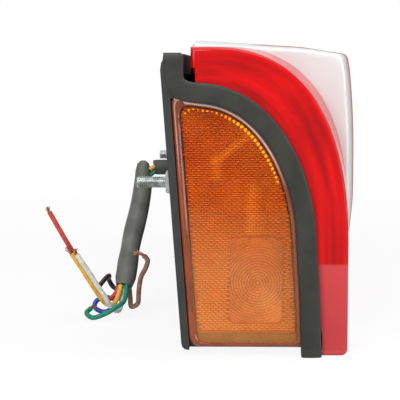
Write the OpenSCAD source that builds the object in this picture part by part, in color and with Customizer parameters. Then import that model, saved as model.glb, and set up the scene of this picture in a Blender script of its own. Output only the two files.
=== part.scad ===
// Rear combination lamp of a truck, with a side marker on its near end.
// Millimetres. X points out of the main lens, Y along the lamp, Z up.
// The origin is midway between the two mounting studs, on the outer faces of their nuts.

/* [Lamp body] */
// Length of the lamp, end to end
lamp_l = 384; // [360:2:420]
// Height of the studs above the lamp's underside
stud_z = 71; // [69:1:74]
// Height of the red end lens
end_h = 136.4; // [134:0.2:139]
// Reach of the end lens from the nut faces
end_reach = 84.3; // [82:0.1:86]
// Reach of the main lens at its fullest
main_reach = 99.9; // [98:0.1:104]
// How much the main lens falls back at the far end
face_fall = 15.2; // [12:0.1:16]
// Rise of the lens top at mid-length
top_rise = 3.5; // [2:0.1:5]
// Slope of the back wall, in degrees
back_slope = 4.3; // [2:0.1:5]
// Wall of the moulded parts
wall = 2.5; // [2:0.1:3]

/* [Lens zones] */
// Length of the red end lens
red_end_l = 38; // [34:1:44]
// Length of the clear lens
clear_l = 58; // [54:1:64]
// Flare of the end lens towards the clear lens
flare = 2.2; // [1.5:0.1:2.6]
// Radius of the lens corners at the bottom
foot_r = 3; // [2:0.5:4]
// Radius of the clear and main lens at the top edge
brow_r = 9; // [7:0.5:11]

/* [Side marker] */
// Depth of the red end face behind the front of the seal
red_set = 4; // [3.5:0.5:4.5]
// Depth of the amber face behind the front of the seal
amber_set = 6.5; // [6:0.5:7]
// Depth of the housing's end wall behind the front of the seal
end_wall_set = 14; // [13.5:0.5:16]
// Width of the rubber seal
seal_w = 9; // [8:0.5:10]
// Width of the seal's stem
stem_w = 5; // [4:0.5:5.5]
// Width of the round-cornered optic window
optic_w = 23.2; // [20:0.2:25]
// Height of the optic window
optic_h = 37.5; // [34:0.5:40]
// Pitch of the optic's rings
ring_pitch = 1.1; // [0.9:0.1:1.5]
// Height of the optic's rings
ring_h = 0.5; // [0.3:0.1:0.6]

/* [Mounting] */
// Distance between the studs
stud_pitch = 220; // [200:2:230]
// Diameter of the studs
stud_d = 6; // [5:1:6]
// Reach of the studs behind the nut faces
stud_out = 14.3; // [10:0.1:20]
// Width across flats of the stud heads and nuts
nut_af = 10; // [9:0.5:10]
// Height of the nuts
nut_h = 4.5; // [4:0.1:4.6]
// Outer diameter of the cable stub
stub_d = 8; // [7:0.5:9]

/* [Bulbs] */
// Diameter of the large bulbs
bulb_d = 25; // [22:0.5:26]
// Diameter of the bulb bases
base_d = 15; // [13:0.5:15]
// Diameter of the red chamber's bowls
red_bowl_d = 80; // [74:1:82]
// Diameter of the clear chamber's bowls
clear_bowl_d = 42; // [40:1:44]

/* [Hidden] */

$fn = 48;
fit = 0.2;
seat = 0.1;

// Levels along the lamp.
y_near = -lamp_l / 2;
y_far = lamp_l / 2 - 2;
y_red = y_near + red_set;
y_amber = y_near + amber_set;
y_end_wall = y_near + end_wall_set;
y_clear = y_red + red_end_l;
y_main = y_clear + clear_l;
y_fullest = 10;

// Levels up the lamp.
z_foot = -stud_z;
z_brow = z_foot + end_h;
z_top = z_brow + 5.9;
z_tray_top = z_brow - 2.9;
z_tray_foot = z_foot + 2;

// Flange planes of the lens and the tray, with the gasket between them.
gasket_t = 2.9;
lens_top_x = 14.5;
lens_foot_x = 70.9;
tray_top_x = lens_top_x - gasket_t;
tray_foot_x = lens_foot_x - gasket_t;
flange = 9;
pad_x = nut_h;
back_mid_x = pad_x + 0.8;
board_x = 14.5;
board_t = 1.6;

// Curves, offsets and plane outlines.
function bez(a, b, c, d, n) = [for (i = [0:n]) let (t = i / n, s = 1 - t)
    s * s * s * a + 3 * t * s * s * b + 3 * t * t * s * c + t * t * t * d];
function arc(c, r, a0, a1, n) = [for (i = [0:n]) let (a = a0 + (a1 - a0) * i / n)
    c + r * [cos(a), sin(a)]];
function rev(p) = [for (i = [len(p) - 1:-1:0]) p[i]];
function tail(p) = [for (i = [1:len(p) - 1]) p[i]];
function left(v) = [-v[1], v[0]] / norm(v);
function off(p, d) = [for (i = [0:len(p) - 1]) let (
    n1 = i > 0 ? left(p[i] - p[i - 1]) : left(p[1] - p[0]),
    n2 = i < len(p) - 1 ? left(p[i + 1] - p[i]) : n1,
    m = (n1 + n2) / norm(n1 + n2)) p[i] + m * d / (m * n1)];
function strip(p, a, b) = concat(off(p, a), rev(off(p, b)));

// Back wall of the tray: its distance from the nut faces at height z.
function back_x(z) = back_mid_x - tan(back_slope) * z;

// Seam between lens and tray on an end face, from the top down.
seam_turn = [20, z_brow - 20.1];
seam_waist = [65.2, z_foot + 57];
function seam(x0, x1) = concat([[x0, z_brow - 2.4]],
    bez([x0, seam_turn[1] + 8.7], [x0, seam_turn[1] + 2.2], [x0 + 4, seam_turn[1] + 0.4], seam_turn, 5),
    tail(bez(seam_turn, seam_turn + [25, -1.8], seam_waist + [-3.2, 32], seam_waist, 10)),
    [[x1 - 1, z_foot + 26], [x1 - 0.2, z_foot + 6], [x1, z_foot]]);
near_foot_x = 68.1;
near_seam = seam(7, near_foot_x);
far_foot_x = (lens_foot_x + tray_foot_x) / 2;
far_seam = seam((lens_top_x + tray_top_x) / 2, far_foot_x);

// Outline of the red end lens; f runs from 0 at its face to 1 at the clear lens.
end_turn_x = 25.7;
end_drop_z = z_brow - 86.4;
function red_out(f) = let (
    a = [end_turn_x + 4.3 * f, z_brow + 0.9 * f],
    d = [end_reach + flare * f, end_drop_z + 11 * f],
    k = 0.64)
    concat([[lens_top_x, z_brow - flange], [lens_top_x, z_brow - flange / 2], [lens_top_x, a[1]]],
        bez(a, [a[0] + k * (d[0] - a[0]), a[1]], [d[0], d[1] + k * (a[1] - d[1])], d, 14),
        [[d[0], z_foot + 20]],
        arc([d[0] - foot_r, z_foot + foot_r], foot_r, 0, -90, 4),
        [[lens_foot_x, z_foot], [lens_foot_x, z_foot + flange]]);

// Outline of the clear and main lens at y: crowned along the lamp and up its face.
z_full = z_foot + 83;
top_slope = 0.06;
function face_x(y, z) = main_reach - face_fall * pow((y - y_fullest) / (y_far - y_fullest), 2)
    - (z > z_full ? 3 * pow((z - z_full) / 50, 2) : 1.2 * pow((z - z_full) / 83, 2));
function top_z(y, x) = z_top - top_rise * pow(y / 150, 2) - top_slope * (x - lens_top_x);
function main_out(y) = let (
    xc = face_x(y, z_top - brow_r) - brow_r,
    zc = top_z(y, xc) - brow_r,
    xf = face_x(y, z_foot) - foot_r)
    concat([[lens_top_x, z_brow - flange], [lens_top_x, top_z(y, lens_top_x)]],
        [for (i = [1:3]) let (x = lens_top_x + (xc - lens_top_x) * i / 4) [x, top_z(y, x)]],
        arc([xc, zc], brow_r, 86, 8, 6),
        [for (i = [1:7]) let (z = zc + (z_foot + foot_r - zc) * i / 8) [face_x(y, z), z]],
        arc([xf, z_foot + foot_r], foot_r, 0, -90, 4),
        [[lens_foot_x, z_foot], [lens_foot_x, z_foot + flange]]);

function at_y(p, y) = [for (q = p) [q[0], y, q[1]]];

// A solid swept through closed rings with the same even number of points. Its end faces are
// strips of triangles between the first half of a ring and its second half, run backwards.
module sweep(rings) {
    n = len(rings[0]);
    m = len(rings);
    e = (m - 1) * n;
    polyhedron([for (r = rings) each r], concat(
        [for (i = [0:n / 2 - 2]) each [[i + 1, i, n - 1 - i], [i + 1, n - 1 - i, n - 2 - i]]],
        [for (i = [0:n / 2 - 2]) each [[e + i, e + i + 1, e + n - 1 - i],
            [e + i + 1, e + n - 2 - i, e + n - 1 - i]]],
        [for (j = [0:m - 2], i = [0:n - 1]) [j * n + i, j * n + (i + 1) % n, (j + 1) * n + i]],
        [for (j = [0:m - 2], i = [0:n - 1])
            [j * n + (i + 1) % n, (j + 1) * n + (i + 1) % n, (j + 1) * n + i]]));
}

// How far along its length each stretch of an open line lies, from 0 to 1.
function middles(p) = let (l = [for (i = [1:len(p) - 1]) norm(p[i] - p[i - 1])], total = sum(l, len(l)))
    [for (i = [0:len(l) - 1]) (sum(l, i) + l[i] / 2) / total];
function sum(l, n) = n == 0 ? 0 : sum(l, n - 1) + l[n - 1];
function under(l, v) = len([for (q = l) if (q < v) q]);

// A shell that follows open outlines (outer and inner) and is closed at its first
// station by a wall that ends on the outline back. Its stations run away from that wall.
// The wall's faces are strips of triangles between the two outlines, paired by their lengths;
// the flanges at the outline's ends, hook points at the top, are cut off as ears first.
module cup(outer, inner, back, y_out, y_in, hook) {
    up = y_in > y_out;
    m = len(outer[0]);
    s = len(outer);
    k = len(back);
    o = function(j, i) j * m + i;
    p = function(j, i) (s + j) * m + i;
    b = function(i) i < 0 ? o(0, 0) : i < k ? 2 * s * m + i : o(0, m - 1);
    c = function(i) i < 0 ? p(0, 0) : i < k ? 2 * s * m + k + i : p(0, m - 1);
    chain = [0, for (i = [hook:m - 3]) i, m - 1];
    rim_at = middles([for (i = chain) outer[0][i]]);
    back_at = middles(back);
    pts = concat([for (r = outer) each r], [for (r = inner) each r],
        at_y(back, y_out), at_y(back, y_in));
    faces = concat(
        [for (j = [0:s - 2], i = [0:m - 2]) each [[o(j, i), o(j, i + 1), o(j + 1, i)],
            [o(j, i + 1), o(j + 1, i + 1), o(j + 1, i)]]],
        [for (j = [0:s - 2], i = [0:m - 2]) each [[p(j, i + 1), p(j, i), p(j + 1, i)],
            [p(j, i + 1), p(j + 1, i), p(j + 1, i + 1)]]],
        [for (i = [0:m - 2]) each [[o(s - 1, i), o(s - 1, i + 1), p(s - 1, i)],
            [o(s - 1, i + 1), p(s - 1, i + 1), p(s - 1, i)]]],
        [for (j = [0:s - 2]) each [[p(j, 0), o(j, 0), p(j + 1, 0)], [o(j, 0), o(j + 1, 0), p(j + 1, 0)]]],
        [for (j = [0:s - 2]) each [[o(j, m - 1), p(j, m - 1), p(j + 1, m - 1)],
            [o(j, m - 1), p(j + 1, m - 1), o(j + 1, m - 1)]]],
        [for (i = [0:hook - 2]) each [[o(0, i + 1), o(0, i), o(0, hook)], [p(0, i), p(0, i + 1), p(0, hook)]]],
        [[o(0, m - 2), o(0, m - 3), o(0, m - 1)], [p(0, m - 3), p(0, m - 2), p(0, m - 1)]],
        [for (n = [0:len(chain) - 2]) let (i = chain[n], i2 = chain[n + 1], j = under(back_at, rim_at[n]))
            each [[o(0, i2), o(0, i), b(j)], [p(0, i), p(0, i2), c(j)]]],
        [for (j = [0:k - 2]) let (i = chain[len(rim_at) - len([for (q = rim_at) if (q >= back_at[j]) q])])
            each [[b(j), b(j + 1), o(0, i)], [c(j + 1), c(j), p(0, i)]]],
        [for (i = [-1:k - 1]) each [[b(i + 1), b(i), c(i)], [c(i + 1), b(i + 1), c(i)]]]);
    polyhedron(pts, [for (f = faces) up ? rev(f) : f]);
}

// A prism whose outline lies in XZ, from y0 to y1.
module slab(p, y0, y1) {
    translate([0, y1, 0]) rotate([90, 0, 0]) linear_extrude(y1 - y0) polygon(p);
}

// A turned piece on an axis along X, from its half outline [along X, radius].
module turned(p) {
    rotate([0, 90, 0]) rotate_extrude() polygon([for (q = p) [q[1], q[0]]]);
}

// A hexagon prism along X with a corner up.
module hex_x(af, h) {
    rotate([0, 90, 0]) cylinder(r = af / sqrt(3), h = h, $fn = 6);
}

// Tray of the housing: an open outline from the top flange round the back to the foot flange.
tray_out = concat([[tray_top_x, z_tray_top - flange + 1], [tray_top_x, z_tray_top]],
    bez([7, z_tray_top], [4, z_tray_top], [back_x(z_tray_top - 6), z_tray_top - 2],
        [back_x(z_tray_top - 7), z_tray_top - 7], 4),
    bez([back_x(z_tray_foot + 3), z_tray_foot + 3], [back_x(z_tray_foot), z_tray_foot + 1],
        [back_x(z_tray_foot) + 1, z_tray_foot], [back_x(z_tray_foot) + 3.2, z_tray_foot], 3),
    [[tray_foot_x, z_tray_foot], [tray_foot_x, z_foot + flange]]);

// Near end wall, bounded by the seam; far end wall likewise.
function under_seam(s, d) = concat(
    rev([for (q = off(s, d)) if (q[1] < z_tray_top - 0.5 && q[1] > z_tray_foot + 1) q]),
    [for (i = [2:len(tray_out) - 3]) tray_out[i]],
    [[s[len(s) - 1][0] + d - 0.1, z_tray_foot]]);

// Outline of the amber lens: right of a line along the back, under the seam.
amber_rim = 3.7;
amber_foot = z_foot + 3.5;
function amber_out(inset) = let (
    s = [for (q = off(near_seam, -stem_w / 2 - fit - inset))
        if (q[0] > back_x(q[1]) + amber_rim + inset && q[1] < seam_turn[1] + 1 && q[1] > amber_foot + inset) q],
    zt = s[0][1] - 1.5)
    concat([[back_x(zt) + amber_rim + inset, zt]], s,
        [[s[len(s) - 1][0] + 0.9, amber_foot + inset],
        [back_x(amber_foot) + amber_rim + inset, amber_foot + inset]]);

optic_x = 43.5;
optic_z = z_foot + 33;
ring_z = z_foot + 32.1;
ring_x = 44.4;

// A rectangle with round corners, drawn about its middle.
module round_rect(w, h, r) {
    for (x = [-1, 1], z = [-1, 1]) translate([x * (w / 2 - r), z * (h / 2 - r)]) circle(r);
    square([w - 2 * r, h], center = true);
    square([w, h - 2 * r], center = true);
}
module window(w, h, r, x, z, y0, y1) {
    translate([x, y1, z]) rotate([90, 0, 0]) linear_extrude(y1 - y0) round_rect(w, h, r);
}

// Frames of the two reflectors: from y to y, from z to z.
clear_frame = [y_clear + 6, y_main - 6, z_foot + 21, z_brow - 10.4];
red_frame = [y_main + 4, y_far - 12, z_foot + 21, z_brow - 13.4];

// Bulb seats: [y, z] of each bulb, and the end of its holder.
clear_y = (y_clear + y_main) / 2 + 1;
indicator_at = [clear_y, clear_frame[3] - 31];
reverse_at = [clear_y, clear_frame[2] + 26];
red_step = (y_far - y_main - 18) / 3;
stop_at = [y_main + 4 + red_step / 2, -3];
tail_at = stop_at + [red_step, 0];
fog_at = tail_at + [red_step, 0];
holder_x = board_x + board_t;
holder_l = 18;
mouth_x = holder_x + holder_l;
marker_chamber = 22;
marker_y = y_end_wall + marker_chamber;

module on_board(at) {
    translate([0, at[0], at[1]]) children();
}

// Places of the cable's gland and of the vent on the back: [y, z].
gland_at = [-62, 4];
vent_at = [60, z_foot + 31];

module housing() {
    color("dimgray") difference() {
        union() {
            slab(strip(tray_out, 0, wall), y_end_wall, y_far);
            slab(under_seam(near_seam, stem_w / 2), y_end_wall, y_end_wall + wall);
            slab(under_seam(far_seam, -gasket_t / 2), y_far - wall, y_far);
            slab(under_seam(near_seam, -stem_w / 2 - fit), y_amber, y_end_wall);
            window(optic_w + 8, optic_h + 8, 4, optic_x, optic_z, y_end_wall, marker_y + wall);
            for (y = [-1, 1] * stud_pitch / 2) translate([pad_x, y, 0]) rotate([0, 90, 0])
                cylinder(r = 9, h = board_x - pad_x);
            for (q = concat(clear_posts, red_posts)) translate([back_x(q[1]) + 1, q[0], q[1]])
                rotate([0, 90, 0]) cylinder(r = 3.6, h = q[2] - back_x(q[1]) - 1);
            translate([pad_x - 0.5, gland_at[0], gland_at[1]]) rotate([0, 90, 0])
                cylinder(r = 11, h = back_mid_x - pad_x + wall + 0.5);
        }
        slab(amber_out(-fit), y_amber - 1, y_end_wall);
        translate([back_x(amber_foot) + amber_rim - fit, y_amber - 1, z_foot])
            cube([lens_foot_x, y_end_wall - y_amber + 1, amber_foot - z_foot]);
        window(optic_w + 4, optic_h + 4, 3, optic_x, optic_z, y_end_wall - 1, marker_y);
        translate([optic_x, marker_y - 1, optic_z]) rotate([-90, 0, 0]) cylinder(r = 6, h = wall + 2);
        for (y = [-1, 1] * stud_pitch / 2) translate([0, y, 0]) {
            rotate([0, 90, 0]) cylinder(d = stud_d + fit, h = board_x + 1);
            translate([board_x - 4.2, 0, 0]) hex_x(nut_af + fit, 5);
        }
        translate([0, gland_at[0], gland_at[1]]) rotate([0, 90, 0]) cylinder(r = 7, h = 20);
        translate([0, vent_at[0], vent_at[1]]) rotate([0, 90, 0]) cylinder(r = 2.5, h = 20);
        for (q = concat(clear_posts, red_posts)) translate([q[2] - screw_l + plate_t - seat, q[0], q[1]])
            rotate([0, 90, 0]) cylinder(r = screw_r + seat, h = screw_l);
    }
}

module red_end_lens() {
    ys = [y_red, y_red + 12, y_red + 25, y_clear];
    outer = [for (y = ys) at_y(red_out((y - y_red) / red_end_l), y)];
    inner = [for (y = ys) at_y(off(red_out((y - y_red) / red_end_l), -wall), max(y, y_red + wall))];
    s = off(near_seam, stem_w / 2 + fit);
    back = [for (q = s) if (q[0] > lens_top_x + 1 && q[1] > z_foot + flange + 4) q];
    color("crimson") cup(outer, inner, back, y_red, y_red + wall, 3);
}

module clear_lens() {
    red_in = off(red_out(1), -wall);
    ring = function(y, inside) concat(at_y(inside, y), rev(at_y(main_out(y), y)));
    step = (y_main - y_clear - wall) / 5;
    ys = [for (i = [1:5]) y_clear + wall + step * i];
    n = len(main_out(0));
    q = len(red_in);
    first = [for (i = [0:n - 1]) let (t = i * (q - 1) / (n - 1), a = floor(t), b = min(a + 1, q - 1))
        red_in[a] * (1 - t + a) + red_in[b] * (t - a)];
    color("gainsboro") sweep(concat([ring(y_clear, first), ring(y_clear + wall, first),
        ring(y_clear + wall + 0.5, off(main_out(y_clear + wall + 0.5), -wall))],
        [for (y = ys) ring(y, off(main_out(y), -wall))]));
}

module red_main_lens() {
    ys = [for (i = [0:14]) y_far - (y_far - y_main) * i / 14];
    outer = [for (y = ys) at_y(main_out(y), y)];
    inner = [for (y = ys) at_y(off(main_out(y), -wall), min(y, y_far - wall))];
    s = off(far_seam, gasket_t / 2);
    back = [for (q = s) if (q[0] > lens_top_x + 1 && q[1] > z_foot + flange + 4) q];
    color("firebrick") cup(outer, inner, back, y_far, y_far - wall, 2);
}

// T-shaped section of the seal: [across the seam, behind its front].
module rubber_seal() {
    h = seal_w / 2;
    t = stem_w / 2;
    r = 1.5;
    section = [[-t, end_wall_set], [-t, amber_set], [-h, amber_set], [-h, r], [-h + 0.45, 0.45], [-h + r, 0],
        [h - r, 0], [h - 0.45, 0.45], [h, r], [h, red_set], [t, red_set], [t, end_wall_set]];
    ring = function(i) [for (q = section) let (p = off(near_seam, q[0])[i]) [p[0], y_near + q[1], p[1]]];
    color("darkslategray") sweep([for (i = [len(near_seam) - 1:-1:0]) ring(i)]);
}

module lens_gasket() {
    g = gasket_t / 2;
    z1 = z_tray_top - flange;
    z2 = z_tray_foot + 1;
    run = function(d) [for (q = off(far_seam, d)) if (q[1] < z1 + 2 && q[1] > z2 + 1) q];
    color("black") {
        translate([tray_top_x, y_end_wall + wall + fit, z1])
            cube([gasket_t, y_far - y_end_wall - wall - fit, z_tray_top - 1 - z1]);
        translate([tray_foot_x, y_end_wall + wall + fit, z2])
            cube([gasket_t, y_far - y_end_wall - wall - fit, flange - 4]);
        slab(concat(run(g), rev(run(-g))), y_far - wall - 3, y_far);
    }
}

module side_marker_lens() {
    color("orange") difference() {
        slab(amber_out(0), y_amber, y_end_wall - seat);
        slab(amber_out(wall - 0.5), y_amber + wall - 0.5, y_end_wall);
    }
}

module reflex_reflector() {
    y = y_amber + wall - 0.5 + seat;
    color("darkorange") difference() {
        slab(amber_out(4), y, y + 3);
        window(optic_w + fit, optic_h + fit, 3, optic_x, optic_z, y - 1, y + 4);
    }
}

// Stepped lens whose rings are coned, cut to the round-cornered window.
module side_marker_optic() {
    y = y_amber + wall - 0.5 + seat;
    rings = ceil(norm([optic_w, optic_h]) / 2 / ring_pitch);
    profile = concat([[0, 2]], [for (i = [0:rings - 1]) each
        [[i * ring_pitch + 0.01, 2 + ring_h], [(i + 1) * ring_pitch, 2]]], [[rings * ring_pitch, 0], [0, 0]]);
    color("sandybrown") intersection() {
        window(optic_w, optic_h, 3, optic_x, optic_z, y, y + 3);
        translate([ring_x, y, ring_z]) rotate([-90, 0, 0]) rotate_extrude() polygon(profile);
    }
}

// Reflector bowl: a parabola from its neck to its mouth, with a wall behind it.
module bowl(d, x0, x1, neck) {
    n = 8;
    curve = [for (i = [0:n]) let (r = neck + (d / 2 - neck) * i / n) [x0 + (x1 - x0)
        * (r * r - neck * neck) / (d * d / 4 - neck * neck), r]];
    turned(concat(curve, [for (i = [n:-1:0]) curve[i] + [-0.4, 1.8]]));
}
module bowl_room(d, x0, x1, neck) {
    turned([[x0 - 5, 0], [x1 + 1, 0], [x1 + 1, d / 2], [x0 - 5, neck + 1]]);
}

neck_r = base_d / 2 + 3;
module reflector(seats, posts, d, x1, frame) {
    low = [frame[0], frame[2]];
    size = [frame[1], frame[3]] - low;
    difference() {
        union() {
            translate([x1 - plate_t, low[0], low[1]]) cube([plate_t, size[0], size[1]]);
            difference() {
                translate([x1 - skirt, low[0], low[1]]) cube([skirt, size[0], size[1]]);
                translate([x1 - skirt - 1, low[0] + plate_t, low[1] + plate_t])
                    cube([skirt + 2, size[0] - 2 * plate_t, size[1] - 2 * plate_t]);
            }
        }
        for (s = seats) on_board(s)
            turned([[x1 - skirt - 2, 0], [x1 + 1, 0], [x1 + 1, d / 2], [x1 - skirt - 2, d / 2]]);
        for (q = posts) translate([x1 - 3, q[0], q[1]]) rotate([0, 90, 0]) cylinder(r = screw_r + fit, h = 5);
    }
    for (s = seats) on_board(s) bowl(d, mouth_x + 1, x1, neck_r);
}

// Posts on the tray's back wall that the reflectors are screwed to: [y, z, front].
screw_r = 2;
clear_front = main_reach - 16.9;
red_front = main_reach - 23.9;
plate_t = 2;
skirt = 14;
clear_posts = [[clear_frame[0] + 8, 0, clear_front - plate_t],
    [clear_frame[1] - 6, clear_frame[3] - 7, clear_front - plate_t]];
red_posts = [for (y = [stop_at[0] + red_step / 2, tail_at[0] + red_step / 2],
    z = [red_frame[2] + 6, red_frame[3] - 7]) [y, z, red_front - plate_t]];
module clear_reflector() {
    color("whitesmoke") reflector([indicator_at, reverse_at], clear_posts, clear_bowl_d, clear_front, clear_frame);
}
module red_reflector() {
    color("silver") reflector([stop_at, tail_at, fog_at], red_posts, red_bowl_d, red_front, red_frame);
}

module chamber_divider() {
    y = y_main - 2;
    z = z_tray_foot + wall + seat;
    x = tray_foot_x - wall - 1;
    color("white") slab([[20, z], [x, z], [x, z_foot + 10], [lens_foot_x + 5, z_foot + 10],
        [main_reach - 19.9, z_foot + 14],
        [main_reach - 16.9, z_full], [main_reach - 21.9, z_brow - 16.4], [60, z_brow - 8.4],
        [20, z_brow - 8.4]], y, y + 1.8);
}

// Glass bulb on its metal base, sealed and solid.
module bulb(tint) {
    r = base_d / 2;
    g = bulb_d / 2;
    color(tint) turned([[mouth_x - 12, 0], [mouth_x - 12, r], [mouth_x + 5, r], [mouth_x + 7, r - 1],
        [mouth_x + 12, g * 0.8], [mouth_x + 17, g * 0.98], [mouth_x + 22, g], [mouth_x + 27, g * 0.92],
        [mouth_x + 31, g * 0.7], [mouth_x + 33, g * 0.4], [mouth_x + 34, 0]]);
}
module indicator_bulb() { on_board(indicator_at) bulb("orange"); }
module reverse_bulb() { on_board(reverse_at) bulb("aliceblue"); }
module stop_bulb() { on_board(stop_at) bulb("aliceblue"); }
module tail_bulb() { on_board(tail_at) bulb("aliceblue"); }
module fog_bulb() { on_board(fog_at) bulb("aliceblue"); }

// Socket that stands on the contact board and grips a bulb's base.
module holder() {
    r = base_d / 2;
    color("gray") turned([[holder_x, 0], [holder_x, r + 2.5], [holder_x + 3, r + 2.5], [holder_x + 3, r + 1.5],
        [mouth_x, r + 1.5], [mouth_x, r + seat], [mouth_x - 12 - seat, r + seat], [mouth_x - 12 - seat, 0]]);
}
module indicator_holder() { on_board(indicator_at) holder(); }
module reverse_holder() { on_board(reverse_at) holder(); }
module stop_holder() { on_board(stop_at) holder(); }
module tail_holder() { on_board(tail_at) holder(); }
module fog_holder() { on_board(fog_at) holder(); }

module side_marker_bulb() {
    color("orange") translate([optic_x, marker_y + wall - seat, optic_z]) rotate([90, 0, 0])
        rotate_extrude() polygon([[0, 0], [4.2, 0], [4.2, 8], [5, 9], [5, 16], [3.5, 19], [0, 20]]);
}
module side_marker_holder() {
    color("gray") translate([optic_x, marker_y, optic_z]) rotate([-90, 0, 0]) rotate_extrude()
        polygon([[4.3, 0], [5.8, 0], [5.8, wall], [8, wall], [8, wall + 6], [0, wall + 6], [0, wall],
            [4.3, wall]]);
}

board_w = 22;
board_h = 72;
strip_h = 32;
module contact_board() {
    y = clear_y - board_w / 2;
    color("tan") {
        translate([board_x, y, -board_h / 2]) cube([board_t, board_w, board_h]);
        translate([board_x, y, -strip_h / 2]) cube([board_t, fog_at[0] + strip_h / 2 - y, strip_h]);
    }
}

// Screws through the reflectors' plates into the posts.
screw_l = 10;
module reflector_screws() {
    color("lightgray") for (q = concat(clear_posts, red_posts)) translate([q[2] + plate_t, q[0], q[1]])
        turned([[-screw_l, 0], [-screw_l, screw_r], [0, screw_r], [0, 3.5], [1.6, 2.6], [1.6, 0]]);
}

module breather_vent() {
    z = vent_at[1];
    color("black") translate([0, vent_at[0], z]) turned([[back_x(z) - 3, 0], [back_x(z) - 3, 5], [back_x(z) - 1, 6],
        [back_x(z + 6) - 0.5, 6], [back_x(z + 6) - 0.5, 2.4], [back_x(z) + 5, 2.4], [back_x(z) + 5, 0]]);
}

module mounting_studs() {
    color("lightgray") for (y = [-1, 1] * stud_pitch / 2) translate([0, y, 0]) {
        turned([[-stud_out, 0], [-stud_out, stud_d / 2], [0, stud_d / 2], [0, stud_d / 2 - seat],
            [board_x - 4, stud_d / 2 - seat], [board_x - 4, 0]]);
        translate([board_x - 4.2 + seat, 0, 0]) hex_x(nut_af, 4);
    }
}
module stud_nuts() {
    color("silver") for (y = [-1, 1] * stud_pitch / 2) translate([0, y, 0]) difference() {
        hex_x(nut_af, nut_h);
        translate([-1, 0, 0]) rotate([0, 90, 0]) cylinder(d = stud_d, h = nut_h + 2);
    }
}

module cable_gland() {
    r = stub_d / 2;
    x = pad_x - 0.5;
    color("black") translate([0, gland_at[0], gland_at[1]]) turned([[x - 2.4, r], [x - 2.4, 7.5], [x - 1, 9],
        [x, 9], [x, 6.9], [back_mid_x + wall + 0.5, 6.9], [back_mid_x + wall + 0.5, 8.5],
        [back_mid_x + wall + 2, 8.5], [back_mid_x + wall + 2, r]]);
}
module cable_stub() {
    color("dimgray") translate([-9.4, gland_at[0], gland_at[1]]) rotate([0, 90, 0])
        cylinder(d = stub_d, h = 23);
}

// Routes of the cable and its cores, chosen by hand; each is one open run of points.
sheath_d = 9.6;
wire_d = 2.5;
sheath_run = [[-14.3, -62, 7.5], [-14.3, -62.5, -4], [-16, -67, -17], [-19, -76, -31], [-20.5, -84, -41],
    [-21.5, -88, -49], [-22.5, -91, -55]];
sheath_widths = [6.2, 8.6, sheath_d, sheath_d, sheath_d, sheath_d, sheath_d - 1];
red_run = [[-25.3, -90.9, -55], [-26.5, -92, -58.5], [-30, -93.5, -61.5], [-34.5, -95, -58],
    [-40, -97, -49.5], [-46, -99, -39.5], [-51, -100, -31], [-55, -100, -24], [-59.5, -100, -16]];
yellow_run = [[-24, -93.2, -54.4], [-25, -96, -59], [-27.5, -98.5, -63.5], [-31.5, -100, -62.5],
    [-35.5, -101, -57], [-40, -102, -49.5], [-44, -102.5, -43], [-48, -103, -37]];
white_run = [[-22.5, -91.1, -55.5], [-23, -93.5, -60], [-24.5, -98.5, -66.5], [-28, -102.5, -64.5],
    [-31, -104, -59], [-34.5, -104.5, -53.5], [-38.5, -105, -47], [-42, -106, -41.5], [-45, -106, -37]];
green_run = [[-21.1, -93.5, -54.6], [-21, -98, -58], [-22, -103.5, -61.5], [-26, -107, -64],
    [-31, -108, -66.8], [-37, -107.5, -68.8], [-40.5, -104.5, -67], [-38.5, -101.5, -65]];
blue_run = [[-21.3, -89.1, -56.7], [-22.5, -87, -61], [-27, -85.5, -63], [-32.5, -86, -62],
    [-37, -88, -63.5], [-37.5, -91.5, -66.5], [-33, -93.5, -68.3], [-28.5, -92.5, -67]];
brown_run = [[-19.8, -91.4, -55.9], [-19.2, -93, -61], [-18.5, -96, -65], [-15, -98, -63],
    [-14.5, -98, -57], [-13.5, -97, -50], [-11, -97, -45], [-10, -97, -41], [-12, -97, -38.5]];
black_run = [[-24, -88.9, -56.4], [-25.2, -84.5, -58.5], [-29, -82, -57], [-31, -83.5, -53],
    [-30.5, -87.5, -50.5], [-31.8, -92, -51], [-34.5, -96.5, -54]];

// Rings of a tube along a run: round, square to the run, turned as little as may be.
function unit(v) = v / norm(v);
function along(p, i) = unit(p[min(i + 1, len(p) - 1)] - p[max(i - 1, 0)]);
function tube_rings(p, d, n) = [for (i = [0:len(p) - 1]) let (
    t = along(p, i),
    a = unit(cross(t, [0.2, 1, 0.1])),
    b = cross(t, a),
    r = (is_list(d) ? d[i] : d) / 2)
    [for (k = [0:n - 1]) p[i] + r * (cos(360 * k / n) * a + sin(360 * k / n) * b)]];
module cord(run, d, n) {
    sweep([for (r = tube_rings(run, d, n)) rev(r)]);
}

module exposed_cores() {
    color("seagreen") for (dz = [-1.5, 1.5]) translate([-10.9, gland_at[0] + dz, gland_at[1]])
        rotate([0, 90, 0]) cylinder(d = wire_d, h = 1.5);
}
module cable_sheath() { color("gray") cord(sheath_run, sheath_widths, 12); }
module wire_red() { color("crimson") cord(red_run, wire_d, 8); }
module wire_yellow() { color("goldenrod") cord(yellow_run, wire_d, 8); }
module wire_white() { color("whitesmoke") cord(white_run, wire_d, 8); }
module wire_green() { color("seagreen") cord(green_run, wire_d, 8); }
module wire_blue() { color("royalblue") cord(blue_run, wire_d, 8); }
module wire_brown() { color("rosybrown") cord(brown_run, wire_d, 8); }
module wire_black() { color("black") cord(black_run, wire_d, 8); }

// Bared copper beyond a run's last point.
module bared(run, l) {
    n = len(run);
    t = unit(run[n - 1] - run[n - 2]);
    translate(run[n - 1]) rotate([0, acos(t[2]), atan2(t[1], t[0])]) cylinder(d = 1.6, h = l, $fn = 16);
}
module copper_ends() {
    color("peru") {
        bared(red_run, 3);
        bared(yellow_run, 4);
        bared(white_run, 6);
        bared(green_run, 3);
        bared(blue_run, 4);
        bared(brown_run, 4);
        bared(black_run, 4);
    }
}

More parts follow.
